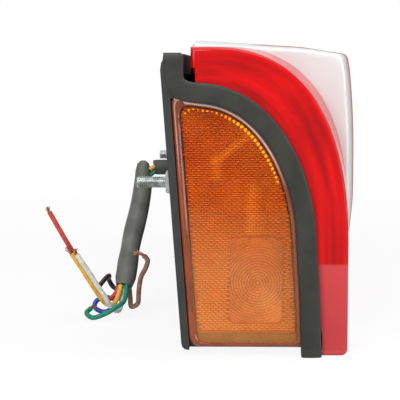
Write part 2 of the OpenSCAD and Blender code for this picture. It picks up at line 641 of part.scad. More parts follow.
housing();
red_end_lens();
clear_lens();
red_main_lens();
rubber_seal();
lens_gasket();
side_marker_lens();
reflex_reflector();
side_marker_optic();
clear_reflector();
red_reflector();
chamber_divider();
indicator_bulb();
reverse_bulb();
stop_bulb();
tail_bulb();
fog_bulb();
side_marker_bulb();
indicator_holder();
reverse_holder();
stop_holder();
tail_holder();
fog_holder();
side_marker_holder();
contact_board();
reflector_screws();
breather_vent();
mounting_studs();
stud_nuts();
cable_gland();
cable_stub();
exposed_cores();
cable_sheath();
wire_red();
wire_yellow();
wire_white();
wire_green();
wire_blue();
wire_brown();
wire_black();
copper_ends();
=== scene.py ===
# %% [markdown]
# # A truck's rear lamp, seen from its side marker end
# The frame holds every piece at its real place and size, in metres. This script leaves the
# plain hidden pieces as they are, with better materials, and replaces the pieces that the
# eye lands on by smooth surfaces worked out from the same curves.

# %% Load the frame and keep its box
import math

import bpy
import numpy as np
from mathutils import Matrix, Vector


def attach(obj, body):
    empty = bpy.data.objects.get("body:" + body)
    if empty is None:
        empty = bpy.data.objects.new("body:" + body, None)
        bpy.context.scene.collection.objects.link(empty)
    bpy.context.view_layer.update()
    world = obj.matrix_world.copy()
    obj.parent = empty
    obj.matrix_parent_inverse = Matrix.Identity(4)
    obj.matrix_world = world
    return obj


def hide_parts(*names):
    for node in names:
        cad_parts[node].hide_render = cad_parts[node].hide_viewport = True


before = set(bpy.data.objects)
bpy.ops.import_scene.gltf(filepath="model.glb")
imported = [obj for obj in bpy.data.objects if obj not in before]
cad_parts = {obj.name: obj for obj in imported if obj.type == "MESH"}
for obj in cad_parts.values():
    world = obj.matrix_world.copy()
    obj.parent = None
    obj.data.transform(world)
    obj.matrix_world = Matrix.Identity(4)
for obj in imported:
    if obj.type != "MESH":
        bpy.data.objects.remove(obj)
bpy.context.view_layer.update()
scene = bpy.context.scene
scene.view_settings.view_transform = "Standard"
MM = 0.001

# %% [markdown]
# ## Camera
# The photo was taken with a long lens, a little above the middle of the lamp, and looks along
# it from the side marker end. The eye and the point that it looks at are measured from how the
# far pieces of the lamp shift against the near ones.

# %% Camera
eye = Vector((32.3, -792.0, 56.2)) * MM
aim = Vector((18.8, -192.0, -1.1)) * MM
camera = bpy.data.objects.new("camera", bpy.data.cameras.new("camera"))
camera.data.sensor_width = 36
camera.data.lens = 124.2
camera.location = eye
camera.rotation_euler = (aim - eye).to_track_quat("-Z", "Y").to_euler()
scene.collection.objects.link(camera)
scene.camera = camera

# %% [markdown]
# ## From an array of points to a piece
# Most new pieces are a grid of points with rows and columns, so one helper turns a grid into a
# mesh. A row or column direction can run round and meet itself, and an open end can be closed
# with one flat face. The signed volume says whether the faces look out: if it is negative, they
# are all turned over. Strands and beads are many such grids in one piece.

# %% Grid to mesh
def quads(rows, cols, loop_rows, loop_cols):
    """Faces between neighbouring points of a grid whose points are numbered row by row."""
    i, j = np.meshgrid(np.arange(rows - (not loop_rows)), np.arange(cols - (not loop_cols)), indexing="ij")
    i2, j2 = (i + 1) % rows, (j + 1) % cols
    return np.stack([i * cols + j, i * cols + j2, i2 * cols + j2, i2 * cols + j], -1).reshape(-1, 4)


def signed_volume(points, faces):
    """Sum over fans of each face of a . (b x c) / 6; positive when the faces look outwards."""
    total = 0.0
    for f in faces:
        a, b, c = points[f[0]], points[np.asarray(f[1:-1])], points[np.asarray(f[2:])]
        total += np.einsum("j,ij->", a, np.cross(b, c))
    return total / 6


def skin(name, grid, slot, replaces=(), loop_rows=False, loop_cols=True, cap_rows=False, cap_cols=False,
         material=None, crease=40):
    """Closed piece from a grid[row, column, xyz]: quads between points, and flat caps on the
    first and last row or column where they are asked for."""
    rows, cols = grid.shape[:2]
    points = grid.reshape(-1, 3)
    faces = quads(rows, cols, loop_rows, loop_cols).tolist()
    if cap_rows:
        faces += [list(range(cols))[::-1], list(range((rows - 1) * cols, rows * cols))]
    if cap_cols:
        faces += [list(range(0, rows * cols, cols)), list(range(cols - 1, rows * cols, cols))[::-1]]
    if signed_volume(points, faces) < 0:
        faces = [f[::-1] for f in faces]
    return piece(name, points, faces, slot, replaces, material, crease)


def many(grids):
    """Points and faces of many grids of one size: rings joined in rows, with a flat cap at both
    ends. The first grid's volume says which way the faces turn."""
    rows, cols = grids[0].shape[:2]
    one = quads(rows, cols, False, True).tolist()
    one += [list(range(cols))[::-1], list(range((rows - 1) * cols, rows * cols))]
    if signed_volume(grids[0].reshape(-1, 3), one) < 0:
        one = [f[::-1] for f in one]
    faces = [[v + rows * cols * k for v in f] for k in range(len(grids)) for f in one]
    return np.concatenate([g.reshape(-1, 3) for g in grids]), faces


def piece(name, points, faces, slot, replaces=(), material=None, crease=40):
    """Makes the mesh, smooths it except at edges sharper than crease, and ties it to the frame."""
    mesh = bpy.data.meshes.new(name)
    mesh.from_pydata(np.asarray(points).tolist(), [], faces)
    mesh.shade_smooth()
    mesh.set_sharp_from_angle(angle=math.radians(crease))
    obj = bpy.data.objects.new(name, mesh)
    scene.collection.objects.link(obj)
    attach(obj, "root")
    if replaces:
        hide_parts(*replaces)
    if material:
        mesh.materials.append(material)
    print(name, len(points), "points,", len(faces), "faces")
    return obj


# %% [markdown]
# ## Materials
# Moulded plastic, rubber, wire insulation and plated steel all want the same three things: a
# colour that wanders a little, a gloss that isn't even, and a fine relief. One maker gives them
# with noise on Object coordinates, so the pattern stays put on the piece. Values that are the
# same all over go straight on the shader's sockets. Where a colour has to change from place to
# place, it follows the height or an attribute of the points.

# %% Material maker
# A Mix node in RGBA mode has its two colours and its result in these sockets.
MIX_A, MIX_B, MIX_OUT = 6, 7, 2


def srgb(r, g, b):
    """Screen colour, 0 to 255, to the linear values that a shader reads."""
    c = np.array([r, g, b]) / 255
    return tuple(np.where(c <= 0.04045, c / 12.92, ((c + 0.055) / 1.055) ** 2.4)) + (1,)


def link(tree, a, out, b, into):
    """Joins an output of node a to an input of node b, each given by name or number."""
    tree.links.new(a.outputs[out], b.inputs[into])


def spread(tree, source, out, from_range, to_range):
    """Map Range node that takes an output of source from one range of values to another."""
    node = tree.nodes.new("ShaderNodeMapRange")
    node.inputs["From Min"].default_value, node.inputs["From Max"].default_value = from_range
    node.inputs["To Min"].default_value, node.inputs["To Max"].default_value = to_range
    link(tree, source, out, node, "Value")
    return node


def finish(name, dark, light, rough=(0.3, 0.45), grain=300, relief=0.1, fine=1500, stretch=(1, 1, 1),
           **sockets):
    """Principled surface: noise mixes dark and light and sets the roughness, and finer noise
    gives the relief. stretch scales the pattern along X, Y and Z."""
    m = bpy.data.materials.new(name)
    m.use_nodes = True
    t = m.node_tree
    bsdf = t.nodes["Principled BSDF"]
    coord, mapping = t.nodes.new("ShaderNodeTexCoord"), t.nodes.new("ShaderNodeMapping")
    mapping.inputs["Scale"].default_value = stretch
    link(t, coord, "Object", mapping, "Vector")
    cloud, ramp = t.nodes.new("ShaderNodeTexNoise"), t.nodes.new("ShaderNodeValToRGB")
    cloud.inputs["Scale"].default_value = grain
    cloud.inputs["Detail"].default_value = 4
    ramp.color_ramp.elements[0].position, ramp.color_ramp.elements[1].position = 0.35, 0.65
    ramp.color_ramp.elements[0].color, ramp.color_ramp.elements[1].color = srgb(*dark), srgb(*light)
    link(t, mapping, "Vector", cloud, "Vector")
    link(t, cloud, "Fac", ramp, "Fac")
    link(t, ramp, "Color", bsdf, "Base Color")
    link(t, spread(t, cloud, "Fac", (0, 1), rough), "Result", bsdf, "Roughness")
    dust, bump = t.nodes.new("ShaderNodeTexNoise"), t.nodes.new("ShaderNodeBump")
    dust.inputs["Scale"].default_value = fine
    bump.inputs["Strength"].default_value = relief
    bump.inputs["Distance"].default_value = 0.0002
    link(t, mapping, "Vector", dust, "Vector")
    link(t, dust, "Fac", bump, "Height")
    link(t, bump, "Normal", bsdf, "Normal")
    for socket, value in sockets.items():
        bsdf.inputs[socket.replace("_", " ")].default_value = value
    return m


def mix_by_painted_light(material, colour, clear=None):
    """The base colour goes over to colour, a painted light, shade or reflection, by its share in an
    attribute of the points, and where clear is given the transmission weight goes from clear[0] to clear[1]."""
    t = material.node_tree
    bsdf = t.nodes["Principled BSDF"]
    old = bsdf.inputs["Base Color"].links[0].from_socket
    painted_light, mix = t.nodes.new("ShaderNodeAttribute"), t.nodes.new("ShaderNodeMix")
    painted_light.attribute_name, mix.data_type = "painted_light", "RGBA"
    mix.inputs[MIX_B].default_value = srgb(*colour)
    link(t, painted_light, "Fac", mix, 0)
    t.links.new(old, mix.inputs[MIX_A])
    link(t, mix, MIX_OUT, bsdf, "Base Color")
    if clear:
        link(t, spread(t, painted_light, "Fac", (0, 1), clear), "Result", bsdf, "Transmission Weight")


def give_painted_light(obj, share):
    """Attribute with the share of painted light, shade or reflection: one number from 0 to 1 for each point.
    """
    share = np.asarray(share).ravel().astype(np.float32)
    obj.data.attributes.new("painted_light", "FLOAT", "POINT").data.foreach_set("value", share)


def place_on_grid(obj, rows, cols):
    """Attribute grid: row and column number of each point, so a pattern can follow the piece."""
    i, j = np.meshgrid(np.arange(rows), np.arange(cols), indexing="ij")
    at = np.stack([i, j, 0 * i], -1).reshape(-1).astype(np.float32)
    obj.data.attributes.new("grid", "FLOAT_VECTOR", "POINT").data.foreach_set("vector", at)


def follow_grid(material):
    """Takes the attribute grid in place of Object coordinates for the material's noise."""
    t = material.node_tree
    grid = t.nodes.new("ShaderNodeAttribute")
    grid.attribute_name = "grid"
    link(t, grid, "Vector", t.nodes["Mapping"], "Vector")


def clear_by_height(material, z, weight):
    """The transmission weight goes from weight[0] at height z[0] to weight[1] at z[1]."""
    t = material.node_tree
    axis = t.nodes.new("ShaderNodeSeparateXYZ")
    link(t, t.nodes["Texture Coordinate"], "Object", axis, 0)
    link(t, spread(t, axis, "Z", z, weight), "Result", t.nodes["Principled BSDF"], "Transmission Weight")


def paint_by_height(material, z, blur, upper, lower, deep=0.03):
    """Below height z the base colour goes over to upper, and from there to lower over the
    distance deep; blur is the width of the border."""
    t = material.node_tree
    bsdf, coord = t.nodes["Principled BSDF"], t.nodes["Texture Coordinate"]
    old = bsdf.inputs["Base Color"].links[0].from_socket
    axis = t.nodes.new("ShaderNodeSeparateXYZ")
    pale, over = t.nodes.new("ShaderNodeMix"), t.nodes.new("ShaderNodeMix")
    pale.data_type = over.data_type = "RGBA"
    link(t, coord, "Object", axis, "Vector")
    border = spread(t, axis, "Z", (z, z - blur), (0, 1))
    depth = spread(t, axis, "Z", (z, z - deep), (0, 1))
    pale.inputs[MIX_A].default_value, pale.inputs[MIX_B].default_value = srgb(*upper), srgb(*lower)
    link(t, depth, "Result", pale, 0)
    link(t, border, "Result", over, 0)
    t.links.new(old, over.inputs[MIX_A])
    link(t, pale, MIX_OUT, over, MIX_B)
    link(t, over, MIX_OUT, bsdf, "Base Color")


def dress(material, *nodes):
    """Gives carried-over nodes of the frame their material."""
    for n in nodes:
        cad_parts[n].material_slots[0].material = material


# %% [markdown]
# ## Cable and cores
# A torn grey sheath hangs behind the lamp, and seven thin cores come out of its lower end. They
# are stiff, so they keep the bends they were given. A cord is a round tube along a smooth curve
# through the route's points; the points are those of the frame's own plain tubes.

# %% Curves and tubes
def smooth(points, per=6):
    """Catmull-Rom curve through the points: on each stretch a cubic that leaves and meets the
    points parallel to the line between their neighbours."""
    p = np.asarray(points, float) * MM
    p = np.vstack([2 * p[0] - p[1], p, 2 * p[-1] - p[-2]])
    a, b, c, d = p[:-3, None], p[1:-2, None], p[2:-1, None], p[3:, None]
    t = (np.arange(per) / per)[None, :, None]
    run = 0.5 * (2 * b + (c - a) * t + (2 * a - 5 * b + 4 * c - d) * t**2 + (3 * b - a - 3 * c + d) * t**3)
    return np.vstack([run.reshape(-1, 3), p[-2]])


def tube(path, radius, sides=20, flat=0.0):
    """Rings square to the path: centre + r (cos u A + sin u B), with r swollen by
    1 + flat cos 2u; radius may change along the path."""
    t = np.gradient(path, axis=0)
    t /= np.linalg.norm(t, axis=1)[:, None]
    a = np.cross(t, [0.2, 1, 0.1])
    a /= np.linalg.norm(a, axis=1)[:, None]
    b = np.cross(t, a)
    u = np.arange(sides) * 2 * np.pi / sides
    r = np.broadcast_to(np.asarray(radius, float), (len(path),))[:, None, None]
    swell = (1 + flat * np.cos(2 * u))[None, :, None]
    cos_u, sin_u = np.cos(u)[None, :, None], np.sin(u)[None, :, None]
    return path[:, None] + r * swell * (cos_u * a[:, None] + sin_u * b[:, None])


def length(path):
    """Sum of the distances between neighbouring points."""
    return float(np.linalg.norm(np.diff(path, axis=0), axis=1).sum())


# %% [markdown]
# ### Sheath
# The sheath is a soft hose, so it swells, thins and ends in a taper. Its radius follows a few
# stops along the way, which is quicker to adjust than a mesh shaped by hand.

# %% Sheath
sheath_run = smooth([[-14.3, -62, 7.5], [-14.3, -62.5, -4], [-16, -67, -17], [-19, -76, -31],
                     [-20.5, -84, -41], [-21.5, -88, -49], [-22.5, -91, -55]], 8)
sheath_stops = np.array([0, 0.02, 0.08, 0.2, 0.45, 0.6, 0.72, 0.9, 1])
sheath_radii = np.array([1.2, 2.9, 4.1, 4.7, 5.1, 4.75, 5.2, 5.1, 4.2]) * MM
sheath_grey = finish("sheath_pvc", (92, 92, 88), (112, 112, 107), (0.45, 0.6), 120, 0.25, 900,
                     Specular_IOR_Level=0.3)
along = np.linspace(0, 1, len(sheath_run))
sheath_tube = tube(sheath_run, np.interp(along, sheath_stops, sheath_radii), 28, 0.04)
sheath = skin("sheath", sheath_tube, "jacket_grey", ["cable_sheath"], cap_rows=True, material=sheath_grey)
print("sheath", round(length(sheath_run), 4), "m")

# %% [markdown]
# ### Cores
# A core is copper in coloured PVC. One loop makes all seven from their routes and colours.

# %% Cores
core_runs = {
    "red": [[-25.3, -90.9, -55], [-26.5, -92, -58.5], [-30, -93.5, -61.5], [-34.5, -95, -58],
            [-40, -97, -49.5], [-46, -99, -39.5], [-51, -100, -31], [-55, -100, -24], [-59.5, -100, -16]],
    "yellow": [[-24, -93.2, -54.4], [-25, -96, -59], [-27.5, -98.5, -63.5], [-31.5, -100, -62.5],
               [-35.5, -101, -57], [-40, -102, -49.5], [-44, -102.5, -43], [-48, -103, -37]],
    "white": [[-22.5, -91.1, -55.5], [-23, -93.5, -60], [-24.5, -98.5, -66.5], [-28, -102.5, -64.5],
              [-31, -104, -59], [-34.5, -104.5, -53.5], [-38.5, -105, -47], [-42, -106, -41.5],
              [-45, -106, -37]],
    "green": [[-21.1, -93.5, -54.6], [-21, -98, -58], [-22, -103.5, -61.5], [-26, -107, -64],
              [-31, -108, -66.8], [-37, -107.5, -68.8], [-40.5, -104.5, -67], [-38.5, -101.5, -65]],
    "blue": [[-21.3, -89.1, -56.7], [-22.5, -87, -61], [-27, -85.5, -63], [-32.5, -86, -62],
             [-37, -88, -63.5], [-37.5, -91.5, -66.5], [-33, -93.5, -68.3], [-28.5, -92.5, -67]],
    "brown": [[-19.8, -91.4, -55.9], [-19.2, -93, -61], [-18.5, -96, -65], [-15, -98, -63],
              [-14.5, -98, -57], [-13.5, -97, -50], [-11, -97, -45], [-10, -97, -41], [-12, -97, -38.5]],
    "black": [[-24, -88.9, -56.4], [-25.2, -84.5, -58.5], [-29, -82, -57], [-31, -83.5, -53],
              [-30.5, -87.5, -50.5], [-31.8, -92, -51], [-34.5, -96.5, -54]],
}
core_colours = {
    "red": ((196, 62, 58), (214, 84, 78)), "yellow": ((222, 165, 52), (240, 190, 90)),
    "white": ((214, 214, 208), (234, 234, 230)), "green": ((12, 116, 88), (26, 142, 112)),
    "blue": ((34, 66, 158), (50, 88, 190)), "brown": ((128, 88, 76), (158, 118, 104)),
    "black": ((40, 36, 34), (58, 52, 48)),
}
core_d = 2.5 * MM
core_paths, cores = {}, {}
for colour, run in core_runs.items():
    core_paths[colour] = smooth(run)
    pvc = finish("core_" + colour, *core_colours[colour], (0.35, 0.45), 500, 0.08, 2500,
                 Specular_IOR_Level=0.3)
    cores[colour] = skin("core_" + colour, tube(core_paths[colour], core_d / 2, 16), f"wire_{colour}_pvc",
                         [f"wire_{colour}"], cap_rows=True, material=pvc)
    print(colour, "core", round(length(core_paths[colour]), 4), "m")

# %% [markdown]
# ### Bared copper
# Each core ends in a few millimetres of bare strands that fan out and curl. A strand is a thin
# tube along an arc; its start lies on a sunflower pattern inside the insulation.

# %% Bared copper
strand_r, disc_r, golden_angle = 0.2 * MM, 0.75 * MM, 2.4


def strands(path, reach, curl, count=9):
    """Strand k starts on the disc at radius sqrt(k / count) and angle k times the golden angle,
    runs on along the core's last direction, and with s, its length so far, bends away from the
    middle by 1.1 s^2 and sideways by curl s^2."""
    t = path[-1] - path[-2]
    t /= np.linalg.norm(t)
    a = np.cross(t, [0.2, 1, 0.1])
    a /= np.linalg.norm(a)
    b = np.cross(t, a)
    k = np.arange(count)
    r, u = disc_r * np.sqrt(k / count), k * golden_angle
    disc = r[:, None] * (np.cos(u)[:, None] * a + np.sin(u)[:, None] * b)
    s = np.linspace(-0.1, 1, 7)[None, :, None]
    forth = t * reach * MM * s * (1 - 0.12 * (k % 3)[:, None, None])
    runs = path[-1] + disc[:, None] * (1 + 1.1 * s**2) + forth
    runs = runs + np.asarray(curl) * MM * np.clip(s, 0, 1) ** 2
    return [tube(run, strand_r, 6) for run in runs]


# Reach and curl of each core's strands, in millimetres.
bare = {
    "red": (3, (0.5, 0, 0)), "yellow": (3.4, (-0.8, 0, 0.8)), "white": (5, (2, 0, -1)),
    "green": (3, (0, 0, -1)), "blue": (3.5, (0, 0, 1)), "brown": (3.6, (-2.2, 0, -0.6)),
    "black": (3.6, (-1, 0, 0.6)),
}
copper_grids = []
for colour, (reach, curl) in bare.items():
    copper_grids += strands(core_paths[colour], reach, curl)
copper = finish("copper", (150, 84, 62), (214, 150, 128), (0.3, 0.45), 900, 0.1, 3000, Metallic=0.8)
ends = piece("copper_strands", *many(copper_grids), "copper", ["copper_ends"], copper)

# %% [markdown]
# ### The torn stub
# The cable's dark jacket is torn off just outside its gland, and three short cores bridge the
# gap to the sheath. The tear is a tube whose rim runs in and out with the angle.

# %% Torn stub
stub_sides, stub_y, stub_z = 36, -62, 4
u = np.arange(stub_sides) * 2 * np.pi / stub_sides
ragged = (0.5 * np.sin(2 * u + 0.6) + 0.35 * np.sin(5 * u) + 0.2 * np.sin(9 * u + 1)) * MM


def stub_ring(x, r, torn):
    """Ring of radius r at depth x, moved in and out by torn times the ragged line."""
    across, up = stub_y * MM + r * MM * np.cos(u), stub_z * MM + r * MM * np.sin(u)
    return np.stack([x * MM + torn * ragged, across, up], -1)


stub_shape = [(13.6, 4, 0), (-4, 4, 0.1), (-7, 3.95, 0.5), (-8.3, 3.8, 1), (-8.3, 2.9, 0.9),
              (-6.5, 2.7, 0.4), (-5, 2.5, 0)]
stub_rows = np.stack([stub_ring(*ring) for ring in stub_shape])
jacket = finish("stub_jacket", (48, 48, 46), (66, 66, 62), (0.5, 0.7), 150, 0.3, 900)
stub = skin("torn_stub", stub_rows, "jacket_dark", ["cable_stub"], cap_rows=True, material=jacket)
bridge_r = 1.1 * MM
bridge_runs = {"yellow": [[-5.5, -63.3, 4.6], [-8.3, -63.6, 4.4], [-10.6, -63.4, 3]],
               "green": [[-5.5, -62.2, 2.4], [-8.3, -63, 1.6], [-10.7, -63, -0.6]],
               "black": [[-5.5, -60.8, 4.4], [-8.2, -60.6, 4], [-10.6, -60.8, 2.6]]}
for colour, run in bridge_runs.items():
    skin("bridge_" + colour, tube(smooth(run, 4), bridge_r, 12), f"wire_{colour}_pvc",
                        ["exposed_cores"], cap_rows=True, material=bpy.data.materials["core_" + colour])

# %% [markdown]
# ## The curves of the lamp
# Lens, seal and side marker all follow one S-shaped seam. It is written once, in millimetres in
# the XZ plane, and each piece takes its outline from it by an offset. The Y of a piece's end is
# named after the piece.

# %% Plane curves
z_foot = -71.0
y_near, y_far, y_red, y_amber, y_clear, y_main = -192.0, 190.0, -188.0, -185.5, -150.0, -92.0


def bez(a, b, c, d, n):
    """Cubic Bezier: s^3 a + 3 t s^2 b + 3 t^2 s c + t^3 d, with s = 1 - t."""
    t = np.linspace(0, 1, n + 1)[:, None]
    s = 1 - t
    return s**3 * np.array(a) + 3 * t * s**2 * np.array(b) + 3 * t**2 * s * np.array(c) + t**3 * np.array(d)


def arc(centre, r, start, end, n):
    """Circle: centre + r (cos, sin), in degrees."""
    a = np.radians(np.linspace(start, end, n + 1))
    return np.array(centre) + r * np.stack([np.cos(a), np.sin(a)], -1)


def mitre(p):
    """Vectors that move each point of an open line one unit to its left, lengthened at corners."""
    seg = np.diff(p, axis=0)
    n = np.stack([-seg[:, 1], seg[:, 0]], -1) / np.linalg.norm(seg, axis=1)[:, None]
    a, b = np.vstack([n[:1], n]), np.vstack([n, n[-1:]])
    m = a + b
    m /= np.linalg.norm(m, axis=1)[:, None]
    return m / (m * a).sum(1)[:, None]


def offset(p, d):
    """The line p moved by d to its left."""
    return p + mitre(p) * d


def resample(p, n):
    """n points spread evenly along a line."""
    s = np.concatenate([[0], np.cumsum(np.linalg.norm(np.diff(p, axis=0), axis=1))])
    t = np.linspace(0, s[-1], n)
    return np.stack([np.interp(t, s, p[:, 0]), np.interp(t, s, p[:, 1])], -1)


def at_y(p, y):
    """Plane points to points in space at one or more depths y, in metres."""
    y = np.broadcast_to(np.asarray(y, float), (len(p),))
    return np.stack([p[:, 0], y, p[:, 1]], -1) * MM


def seam(x0, x1):
    """From the top: straight down, a tight turn to the right, a long S down, straight to the foot."""
    turn, waist = np.array([20, z_foot + 116.3]), np.array([65.2, z_foot + 57])
    return np.vstack([[[x0, z_foot + 134]], [[x0, z_foot + 129.5]],
                      bez([x0, turn[1] + 8.7], [x0, turn[1] + 2.2], [x0 + 4, turn[1] + 0.4], turn, 14),
                      bez(turn, turn + [25, -1.8], waist + [-3.2, 32], waist, 36)[1:],
                      [[x1 - 1, z_foot + 26], [x1 - 0.2, z_foot + 6], [x1, z_foot]]])


near_seam, far_seam = seam(7, 68.1), seam(13.05, 69.45)
print("seam points:", len(near_seam))

# %% [markdown]
# ## Rubber seal
# The seal is an extruded T: a flat face with rounded edges and a stem pressed between lens and
# tray. Its section is carried along the seam, and its face is drawn in at the upper end, where
# the strip was cut and rounded.

# %% Rubber seal
face_half, edge_r, left_deep, right_deep = 4.5, 1.6, 6.5, 4
stem_half, stem_deep = 2.5, 14
section = np.vstack([[[-face_half, left_deep]],
                     arc([-face_half + edge_r, edge_r], edge_r, 180, 270, 6),
                     arc([face_half - edge_r, edge_r], edge_r, 270, 360, 6),
                     [[face_half, right_deep], [stem_half, right_deep], [stem_half, stem_deep],
                      [-stem_half, stem_deep], [-stem_half, left_deep]]])
seal_line = np.vstack([np.linspace(near_seam[0], near_seam[1], 8)[:-1], near_seam[1:]])
from_top = np.concatenate([[0], np.cumsum(np.linalg.norm(np.diff(seal_line, axis=0), axis=1))])
round_top, narrower = 3.2, 0.3
draw_in = 1 - np.sqrt(1 - np.clip(1 - from_top / round_top, 0, 1) ** 2)
on_face = section[None, :, 1] < left_deep
across = section[None, :, 0] * (1 - narrower * draw_in[:, None] * on_face)
behind = np.maximum(section[None, :, 1], round_top * draw_in[:, None])
plane = seal_line[:, None] + mitre(seal_line)[:, None] * across[..., None]
seal_grid = np.stack([plane[..., 0], y_near + behind, plane[..., 1]], -1) * MM
rubber = finish("seal_rubber", (48, 48, 44), (60, 60, 55), (0.45, 0.6), 90, 0.3, 700, Specular_IOR_Level=0.2)
skin("rubber_strip", seal_grid, "seal_rubber", ["rubber_seal"], cap_rows=True, material=rubber, crease=50)

# %% [markdown]
# ## Lens outlines
# The near end of the lens is a slimmer arch that flares towards the clear block. The clear and
# the main lens share one crowned outline: the face bulges along the lamp and up its height.

# %% Lens outlines
flange_x, flange_z, foot_x, foot_rise, foot_r = 14.5, 56.4, 70.9, 9, 3
wall = 2.5


def red_out(f):
    """Arch from the top flange to the foot flange; f runs from 0 at the end face to 1."""
    a = np.array([25.7 + 4.3 * f, 65.4 + 0.9 * f])
    d = np.array([84.3 + 2.2 * f, -21 + 11 * f])
    pull = 0.64
    b = [a[0] + pull * (d[0] - a[0]), a[1]]
    c = [d[0], d[1] + pull * (a[1] - d[1])]
    return np.vstack([[[flange_x, flange_z]], [[flange_x, a[1]]], bez(a, b, c, d, 40), [[d[0], -40]],
                      arc([d[0] - foot_r, z_foot + foot_r], foot_r, 0, -90, 8),
                      [[foot_x, z_foot], [foot_x, z_foot + foot_rise]]])


def face_x(y, z):
    """Reach of the face: full at y = 10 and at z from -4 to 12, less by the square of the
    distance above, and by a square that runs on straight from z = -18 below."""
    below = np.clip(-4 - z, 0, None)
    low = 0.006 * np.minimum(below, 14) ** 2 + 0.168 * np.clip(below - 14, 0, None)
    return 99.2 - 15.2 * ((y - 10) / 180) ** 2 - np.where(z > 12, 3 * ((z - 12) / 50) ** 2, 0.75 * low)


def top_z(y, x):
    """Roof: falls away from the lamp's middle, slopes to the face, and steeper over its last part."""
    return 71.3 - 3.5 * (y / 150) ** 2 - 0.06 * (x - 14.5) - 0.1 * np.clip(np.asarray(x) - 68, 0, None)


def main_out(y, brow_r=4, brow_z=62.3):
    """Top flange, roof, round brow, face, round foot, foot flange."""
    xc = face_x(y, brow_z) - brow_r
    zc = top_z(y, xc) - brow_r
    xf = face_x(y, z_foot) - foot_r
    roof_x = np.linspace(flange_x, xc, 12)[:-1]
    face_z = np.linspace(zc, z_foot + foot_r, 26)[1:-1]
    return np.vstack([[[flange_x, flange_z]], np.stack([roof_x, top_z(y, roof_x)], -1),
                      arc([xc, zc], brow_r, 82, 8, 14), np.stack([face_x(y, face_z), face_z], -1),
                      arc([xf, z_foot + foot_r], foot_r, 0, -90, 8),
                      [[foot_x, z_foot], [foot_x, z_foot + foot_rise]]])


print("outline points:", len(red_out(0)), len(main_out(0)))


def rounded_edge(outline, y, turn, r, n=6):
    """Rows that roll from the side of a shell on to its end face: inset r (1 - cos), depth r (1 - sin)."""
    a = np.radians(np.linspace(0, 90, n + 1))
    return [at_y(offset(outline, -r * (1 - math.cos(k))), y + turn * r * (1 - math.sin(k))) for k in a]


def fill(a, b, y, n):
    """Rows of a flat face between two outlines with the same number of points."""
    return [at_y(a * (1 - t) + b * t, y) for t in np.linspace(0, 1, n + 1)[1:]]


def lens_side(seam_line, gap, n, from_x=15.5, down_to=-58):
    """The seam moved to its lens's side by gap, without its upper and lower end, as n points."""
    edge = offset(seam_line, gap)
    return resample(edge[(edge[:, 0] > from_x) & (edge[:, 1] > down_to)], n)


# %% [markdown]
# ## Lens sections
# Each lens is one shell. Its rows run along the outside, roll over an edge on to the end face,
# meet the opening, turn in, and come back along the inside, one wall deeper.

# %% Red end lens
end_r, beside_seal = 2, 2.7


def flare(y):
    """Share of the way from the end face to the clear block."""
    return (y - y_red) / (y_clear - y_red)


lens_y = np.linspace(y_clear, y_red + end_r, 8)
rim = offset(red_out(0), -end_r)
near_edge = lens_side(near_seam, beside_seal, len(rim))
inner_rim = offset(red_out(0), -wall)
rows = [at_y(red_out(flare(y)), y) for y in lens_y[:-1]] + rounded_edge(red_out(0), y_red, 1, end_r)
rows += fill(rim, near_edge, y_red, 10)
rows += [at_y(near_edge, y_red + wall)] + fill(near_edge, inner_rim, y_red + wall, 10)
rows += [at_y(offset(red_out(flare(y)), -wall), y) for y in lens_y[::-1][2:]]
red_plastic = finish("red_acrylic", (172, 3, 11), (186, 5, 13), (0.12, 0.2), 30, 0.1, 500,
                     Transmission_Weight=0.2, IOR=1.49, Specular_IOR_Level=0.15)
red_end = finish("red_end_acrylic", (176, 2, 9), (244, 8, 12), (0.15, 0.25), 1, 0.25, 4, (0.28, 0.05, 1),
                 Transmission_Weight=0.12, IOR=1.49, Specular_IOR_Level=0.15)
# Painted light: its lowest part is paler, lit through from behind.
paint_by_height(red_end, -29.5 * MM, 1.2 * MM, (220, 74, 76), (204, 66, 70))
end_lens = skin("red_end_lens", np.stack(rows), "red_lens", ["red_end_lens"], loop_rows=True,
                loop_cols=False, cap_cols=True, material=red_end)
place_on_grid(end_lens, *np.stack(rows).shape[:2])
follow_grid(red_end)

# %% [markdown]
# ### Clear lens
# It leads from the slim arch to the full outline, and its end face is the step between them.

# %% Clear lens
clear_r = 1.5
clear_ys = np.linspace(y_main, y_clear + clear_r, 10)
opening = resample(offset(red_out(1), -wall), len(main_out(0)))
clear_rim = offset(main_out(y_clear), -clear_r)
clear_in = offset(main_out(y_clear + wall), -wall)
rows = [at_y(main_out(y), y) for y in clear_ys[:-1]]
rows += rounded_edge(main_out(y_clear), y_clear, 1, clear_r)
rows += fill(clear_rim, opening, y_clear, 6) + [at_y(opening, y_clear + wall)]
rows += fill(opening, clear_in, y_clear + wall, 6)
rows += [at_y(offset(main_out(y), -wall), y) for y in clear_ys[::-1][2:]]
clear_plastic = finish("clear_acrylic", (244, 249, 248), (248, 253, 252), (0.05, 0.1), 60, 0.1, 500,
                       IOR=1.49, Specular_IOR_Level=0.35)
clear_rows = np.stack(rows)
clear = skin("clear_lens_block", clear_rows, "clear_lens", ["clear_lens"], loop_rows=True,
             loop_cols=False, cap_cols=True, material=clear_plastic)

# %% [markdown]
# ### Painted red reflection in the clear block
# The red of the main lens shows in the clear block: in its face, the more the nearer to the main
# lens, and in a stretch of its roof. In the photo its sides are seen almost edge on, so they get
# the same plastic without the mirror sheen, which would hide that red.

# %% Red in the clear block
def rise(at, start, end):
    """0 as far as start, 1 from end on, and a straight line between."""
    return np.clip((at - start) / (end - start), 0, 1)


